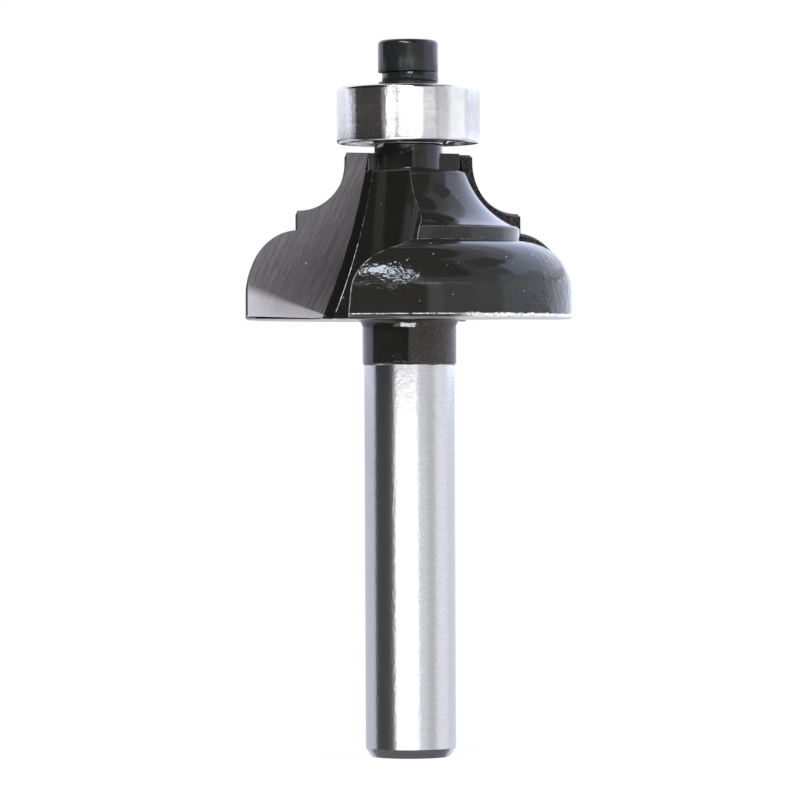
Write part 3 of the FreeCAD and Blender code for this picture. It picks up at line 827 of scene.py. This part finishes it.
@dataclass
class ClampScrew:
    """The socket-head cap screw with its thread, and the washers under its head."""

    foot: float = 60.642
    head_radius: float = 2.68
    head_height: float = 2.86
    head_round: float = 0.42
    foot_round: float = 0.12
    thread_outer: float = 1.45
    thread_inner: float = 1.20
    thread_lead: float = 0.5
    thread_run_out: float = 0.4
    plain_stem: float = 1.2
    pitch: float = 0.5
    length: float = 10.0
    socket_flat: float = 1.25
    socket_depth: float = 1.6
    socket_mouth: float = 0.15
    socket_round: float = 0.03
    washer_foot: float = 59.782
    washer_shift: float = 0.18
    washer_inner: float = 1.70
    washer_outer: float = 2.505
    washer_round: float = 0.10
    washer_stations: int = 181
    split_width: float = 0.05
    split_azimuth: float = math.radians(274.0)
    split_slope: float = 0.70
    columns: int = 144

    def stem_rows(self, turn: np.ndarray) -> tuple[np.ndarray, np.ndarray]:
        """The threaded stem, from its point up.

        The radius follows the thread: a triangle wave of height less the turn's share
        of the pitch, faded out at the point and below the head.

        Args:
            turn: The angles of the grid's columns.

        Returns:
            Rows of radius by column, and each row's height.
        """
        height = np.arange(self.foot - self.length, self.foot - 0.02, self.pitch / 8)
        phase = (height[:, None] / self.pitch - turn / (2 * np.pi)) % 1
        ridge = 1 - np.abs(2 * phase - 1)
        plain_from = self.foot - self.plain_stem
        fade = np.clip((height - height[0]) / self.thread_lead, 0, 1)
        fade = fade * np.clip((plain_from - height) / self.thread_run_out, 0, 1)
        plain = np.where(height > plain_from, self.thread_outer, self.thread_inner)
        radius = self.thread_inner + (self.thread_outer - self.thread_inner) * ridge
        return radius * fade[:, None] + (plain * (1 - fade))[:, None], height

    def screw(self) -> Piece:
        """Makes the whole screw as one closed grid of angle by distance along its section.

        The head's corners are quarter circles. The socket's radius is the flat's
        distance over the cosine of the angle from the flat.

        Returns:
            The screw.
        """
        turn = np.linspace(0, 2 * np.pi, self.columns, endpoint=False)
        bend = np.linspace(0, np.pi / 2, 7)
        top = self.foot + self.head_height
        foot_r = self.head_radius - self.foot_round * (1 - np.sin(bend))
        foot_z = self.foot + self.foot_round * (1 - np.cos(bend))
        round_r = self.head_radius - self.head_round * (1 - np.cos(bend))
        round_z = top - self.head_round * (1 - np.sin(bend))
        mouth = self.socket_flat / math.cos(math.pi / 6) + self.socket_mouth
        hexagon = self.socket_flat / np.cos(turn % (math.pi / 3) - math.pi / 6)
        deep = top - self.socket_depth
        rows = [
            *zip(*self.stem_rows(turn)), (self.thread_outer, self.foot),
            *zip(foot_r, foot_z), *zip(round_r, round_z), (mouth, top), (mouth - 0.02, top - 0.02),
            (hexagon, top - self.socket_mouth), (hexagon, deep + self.socket_round),
            (hexagon - self.socket_round, deep), (0.9, deep - 0.2), (0.2, deep - 0.6),
        ]
        radius = np.array([np.broadcast_to(row[0], turn.shape) for row in rows])
        height = np.array([np.full_like(turn, row[1]) for row in rows])
        points = np.dstack([radius * np.cos(turn), radius * np.sin(turn), height])
        return place_grid("socket_cap_screw", points, Shape.ROUND)

    def washer(self) -> Piece:
        """Makes the spring washer as stations of one rounded section round an almost closed turn.

        Each point's azimuth also grows with its height, which slants the split.

        Returns:
            The washer.
        """
        low, high, bend = self.washer_foot, self.foot, self.washer_round
        inner, outer, slight = self.washer_inner, self.washer_outer, 0.3 * bend
        section = np.array([
            (inner, low + bend), (inner + bend, low), (outer - bend, low),
            (outer - slight, low + slight), (outer, low + bend),
            (outer, high - bend), (outer - slight, high - slight),
            (outer - bend, high), (inner + bend, high), (inner, high - bend),
        ])
        gap = self.split_width / outer
        turn = np.linspace(gap / 2, 2 * np.pi - gap / 2, self.washer_stations)[:, None]
        turn = turn + self.split_azimuth
        turn = turn + self.split_slope * (section[:, 1] - (low + high) / 2) / outer
        x = section[:, 0] * np.cos(turn) + self.washer_shift
        y = section[:, 0] * np.sin(turn)
        z = np.broadcast_to(section[:, 1], x.shape)
        return place_grid("split_lock_washer", np.dstack([x, y, z]), Shape.ROUND)

    def build(self, oxide: Material) -> None:
        """Replaces the plain screw and spring washer, and dresses the shim.

        Args:
            oxide: The finish of all three.
        """
        ring = self.washer()
        dress(ring, oxide)
        ring.data.set_sharp_from_angle(angle=SHARP_ANGLE)
        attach(ring, "cutter")
        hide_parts("spring_washer")
        piece = self.screw()
        dress(piece, oxide)
        piece.data.set_sharp_from_angle(angle=SHARP_ANGLE)
        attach(piece, "cutter")
        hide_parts("cap_screw")
        dress_node("shim_washer", oxide)
        log.info("clamp screw: screw, spring washer, shim")


@dataclass(frozen=True)
class Panel:
    """One curved glowing panel, between two azimuths in degrees to the camera's right.

    An upright panel lies on a cylinder, and its low and high are heights in
    millimetres. On the dome they are degrees of elevation. The reach is the
    cylinder's or the dome's radius.
    """

    name: str
    start: float
    stop: float
    low: float
    high: float
    level: tuple
    reach: float
    on_dome: bool = False


@dataclass(frozen=True)
class Lamp:
    """An area lamp aimed at the cutting head.

    Its azimuth is in degrees to the camera's right, its elevation in degrees above
    level, its distance, width and height in millimetres, and its power in watts.
    """

    name: str
    azimuth: float
    elevation: float
    distance: float
    width: float
    height: float
    power: float


@dataclass
class Studio:
    """The floor, the lamps, the panels that polished steel reflects, and the camera."""

    tent_radius: float = 90.0
    dome_radius: float = 1500.0
    key_radius: float = 1350.0
    panel_step: float = 3.0
    panel_rows: int = 9
    camera_distance: float = 440.0
    eye_height: float = 31.6
    axis_offset: float = 0.84
    roll: float = 0.24
    scale: float = 11.27
    image_width: int = 800
    sensor: float = 36.0
    floor_reach: float = 30000.0
    floor_white: float = 0.9
    floor_fade: tuple = (30.0, 160.0)
    paper: tuple = (0.86, 0.86, 0.87)
    dark_reach: float = 18.0
    dark_height: float = -12.0
    dark_level: tuple = (0.14, 0.14, 0.15)
    world_light: float = 0.55

    def tent(self) -> list[Panel]:
        """The near tent's upright panels, each row from the left round to the right.

        The rows stand at the heights that the shank, the neck, the head, the bearing
        and the screw reflect, in millimetres.

        Returns:
            The panels.
        """
        rows = {
            "shank": (-60.0, 35.2, [
                (-178, -98, (0.64, 0.67, 0.77)), (-98, -37, (0.065, 0.062, 0.066)),
                (-37, 19, (2.0, 2.0, 2.0)), (19, 44, (0.80, 0.81, 0.88)), (44, 68, (0.60, 0.60, 0.62)),
                (68, 108, (0.94, 0.96, 1.0)), (108, 178, (0.78, 0.82, 0.92)),
            ]),
            "neck": (35.2, 39.8, [
                (-178, -98, (1.2, 1.25, 1.5)), (-98, 12, (0.02, 0.02, 0.02)),
                (12, 110, (0.6, 0.58, 0.56)), (110, 178, (1.6, 1.7, 2.0)),
            ]),
            "head": (39.8, 59.0, [
                (-168, -108, (0.10, 0.10, 0.12)), (-108, 12, (0.02, 0.02, 0.02)),
                (12, 22, (0.9, 0.9, 1.0)), (22, 44, (0.60, 0.60, 0.65)),
                (44, 64, (0.78, 0.77, 0.80)), (64, 110, (1.2, 1.25, 1.5)),
                (110, 168, (1.6, 1.7, 2.0)), (168, 192, (0.03, 0.03, 0.03)),
            ]),
            "bearing": (59.0, 64.8, [
                (-178, -116, (0.95, 0.98, 1.07)), (-116, -101, (1.15, 1.18, 1.30)),
                (-101, -92, (0.62, 0.63, 0.68)), (-92, -40, (0.092, 0.085, 0.088)),
                (-40, -37, (0.25, 0.24, 0.24)), (-37, -34, (0.9, 0.9, 0.9)),
                (-34, -18, (2.7, 2.7, 2.7)), (-18, -15, (1.2, 1.2, 1.2)), (-15, 22, (2.9, 2.9, 2.9)),
                (22, 43, (1.08, 1.08, 1.12)), (43, 48, (0.55, 0.55, 0.56)), (48, 70, (0.78, 0.78, 0.79)),
                (70, 100, (1.20, 1.21, 1.14)), (100, 178, (0.88, 0.92, 1.00)),
            ]),
            "screw": (64.8, 84.0, [
                (-178, -110, (1.1, 1.15, 1.4)), (-110, -4, (0.03, 0.03, 0.03)),
                (-4, 12, (0.9, 0.9, 1.0)), (12, 64, (0.50, 0.50, 0.53)),
                (64, 110, (1.0, 1.08, 1.35)), (110, 178, (1.6, 1.7, 2.1)),
            ]),
        }
        return [
            Panel(f"{name}_{number + 1}", start, stop, low, high, level, self.tent_radius)
            for name, (low, high, bands) in rows.items()
            for number, (start, stop, level) in enumerate(bands)
        ]

    def dome(self) -> list[Panel]:
        """The far panels above: two bright keys, dark hoods and a soft box on the right.

        Returns:
            The panels.
        """
        keys = [
            ("key_wide", -38, -14, 38, 55, (15.0, 16.0, 18.5)),
            ("key_narrow", -14, 4, 24, 40, (12.5, 13.3, 15.5)),
        ]
        hoods = [
            ("hood_front", -125, 50, 10, 90, (0.02, 0.02, 0.02)),
            ("hood_right", 50, 60, 15, 70, (0.35, 0.35, 0.40)),
            ("soft_box_foot", 60, 178, 15, 24, (1.5, 1.65, 2.2)),
            ("soft_box_shade", 60, 86, 24, 46, (0.50, 0.52, 0.62)),
            ("soft_box_low", 86, 178, 24, 46, (1.5, 1.65, 2.2)),
            ("soft_box_rise", 102, 178, 46, 48, (1.3, 1.4, 1.8)),
            ("hood_middle", 60, 102, 46, 60, (0.22, 0.22, 0.25)),
            ("soft_box_middle", 102, 178, 48, 60, (0.85, 0.88, 1.05)),
            ("soft_box_high", 60, 178, 60, 70, (0.55, 0.57, 0.68)),
            ("hood_top", 50, 235, 70, 90, (0.02, 0.02, 0.02)),
        ]
        near = [Panel(*band, self.key_radius, True) for band in keys]
        return near + [Panel(*band, self.dome_radius, True) for band in hoods]

    def hang_panel(self, panel: Panel) -> None:
        """Makes one curved panel: points on a cylinder by height, or on a dome by elevation.

        Args:
            panel: Its place and colour.
        """
        turn = np.arange(panel.start, panel.stop + self.panel_step - 1.0, self.panel_step)
        turn = np.radians(turn.clip(max=panel.stop))
        rise = np.linspace(panel.low, panel.high, self.panel_rows)
        if panel.on_dome:
            across = panel.reach * np.cos(np.radians(rise))
            height = panel.reach * np.sin(np.radians(rise))
        else:
            across = np.full_like(rise, panel.reach)
            height = rise
        x = across[:, None] * np.sin(turn)
        y = -across[:, None] * np.cos(turn)
        points = np.dstack([x, y, np.broadcast_to(height[:, None], x.shape)])
        index = np.arange(x.size).reshape(x.shape)
        corners = [index[:-1, :-1], index[:-1, 1:], index[1:, 1:], index[1:, :-1]]
        faces = np.dstack(corners).reshape(-1, 4).tolist()
        self.stage_glow(f"panel_{panel.name}", points.reshape(-1, 3), faces, panel.level)

    @staticmethod
    def glow(book: NodeBook, level: tuple) -> Field:
        """A shader that gives off one colour."""
        return book.add("ShaderNodeEmission", {}, {"Color": (*level, 1.0), "Strength": 1.0})

    @staticmethod
    def square(reach: float, height: float) -> np.ndarray:
        """The corners of a level square about the axis."""
        corners = ((-reach, -reach), (reach, -reach), (reach, reach), (-reach, reach))
        return np.array([(x, y, height) for x, y in corners])

    def stage_glow(self, name: str, points: np.ndarray, faces: list, level: tuple) -> None:
        """Stages a glowing sheet that only reflections see.

        Args:
            name: The sheet's name.
            points: Its points, in millimetres.
            faces: The corners of each face, by number.
            level: The colour it gives off, where 1 is white.
        """
        piece = place_mesh(name, points, faces)
        book = MaterialBook(name)
        dress(piece, book.finish(self.glow(book, level)))
        for ray in ("camera", "diffuse", "shadow", "transmission"):
            setattr(piece, f"visible_{ray}", False)

    def lay_floor(self) -> None:
        """A floor that reads white to the camera and keeps a light shadow.

        Reflections don't see it. Below it hangs a small dark sheet for them.
        """
        floor = place_mesh("floor", self.square(self.floor_reach, 0.0), [(0, 1, 2, 3)])
        book = MaterialBook("pale_floor")
        seen = book.add("ShaderNodeLightPath", {}, {}, "Is Camera Ray")
        paper = book.add("ShaderNodeBsdfDiffuse", {}, {"Color": (*self.paper, 1.0)})
        white = self.glow(book, (1.0, 1.0, 1.0))
        far = book.radius.rise(*self.floor_fade)
        share = seen * (self.floor_white + far * (1 - self.floor_white))
        dress(floor, book.finish(book.add("ShaderNodeMixShader", {}, {0: share, 1: paper, 2: white})))
        floor.visible_glossy = False
        under = self.square(self.dark_reach, self.dark_height)
        self.stage_glow("dark_under", under, [(0, 1, 2, 3)], self.dark_level)

    def light_world(self) -> None:
        """A white surround for the camera and for reflections, softer as light."""
        world = bpy.data.worlds.new("surround")
        bpy.context.scene.world = world
        book = NodeBook(world)
        rays = book.node("ShaderNodeLightPath", {}, {})
        kinds = ("Is Camera Ray", "Is Glossy Ray", "Is Transmission Ray")
        camera, glossy, passing = (Field(book, rays.outputs[kind]) for kind in kinds)
        seen = camera.most(glossy).most(passing)
        limits = {"Value": seen, "To Min": self.world_light, "To Max": 1.0}
        level = book.add("ShaderNodeMapRange", {}, limits)
        white = {"Color": (1.0, 1.0, 1.0, 1.0), "Strength": level}
        book.end("ShaderNodeOutputWorld", book.add("ShaderNodeBackground", {}, white))

    def hang_lamp(self, lamp: Lamp) -> None:
        """Places an area lamp and turns it towards the cutting head.

        Args:
            lamp: Its place, size and power.
        """
        turn, up = math.radians(lamp.azimuth), math.radians(lamp.elevation)
        away = Vector((math.cos(up) * math.sin(turn), -math.cos(up) * math.cos(turn), math.sin(up)))
        data = bpy.data.lights.new(lamp.name, "AREA")
        data.shape = "RECTANGLE"
        data.size, data.size_y = lamp.width * MM, lamp.height * MM
        data.energy = lamp.power
        piece = bpy.data.objects.new(lamp.name, data)
        piece.location = Vector((0, 0, BEAD_MIDDLE * MM)) + away * (lamp.distance * MM)
        piece.rotation_euler = away.to_track_quat("Z", "Y").to_euler()
        piece.visible_glossy = False
        bpy.context.scene.collection.objects.link(piece)

    def set_camera(self) -> None:
        """A level long lens at the photograph's distance, height and slight roll."""
        data = bpy.data.cameras.new("camera")
        data.sensor_width = self.sensor
        focal_pixels = self.scale * self.camera_distance
        data.lens = focal_pixels * self.sensor / self.image_width
        camera = bpy.data.objects.new("camera", data)
        camera.location = Vector((-self.axis_offset, -self.camera_distance, self.eye_height)) * MM
        camera.rotation_euler = (math.pi / 2, math.radians(self.roll), 0.0)
        bpy.context.scene.collection.objects.link(camera)
        bpy.context.scene.camera = camera

    def build(self) -> None:
        """Sets the stage."""
        panels = self.tent() + self.dome()
        lamps = [
            Lamp("key", azimuth=-18, elevation=27, distance=600, width=400, height=190, power=4.0),
            Lamp("side", azimuth=110, elevation=30, distance=700, width=400, height=400, power=4.0),
        ]
        for panel in panels:
            self.hang_panel(panel)
        self.lay_floor()
        self.light_world()
        for lamp in lamps:
            self.hang_lamp(lamp)
        self.set_camera()
        bpy.context.scene.view_settings.view_transform = "Standard"
        log.info("studio: %d panels, floor, dark sheet, %d lamps, camera", len(panels), len(lamps))


def main() -> None:
    """Builds the sub-assemblies and the studio in order."""
    logging.basicConfig(level=logging.INFO, format="%(message)s")
    oxide = BlackOxide().build()
    pressed = TurnedSteel("pressed_steel", (0.40, 0.39, 0.39), roughness=0.17, grain=0.3, texture=0.4)
    rings = TurnedSteel("bearing_steel", (0.80, 0.79, 0.80), roughness=0.11, grain=0.20, texture=0.45)
    balls = TurnedSteel("ball_steel", (0.80, 0.80, 0.81), roughness=0.05, grain=0.0, texture=0.05)
    CutterHead().build(PaintedSteel().build(), GroundCarbide().build(), SilverBraze().build())
    PilotBearing().build(rings.build(), pressed.build(), balls.build())
    ClampScrew().build(oxide)
    Studio().build()


if __name__ == "__main__":
    main()
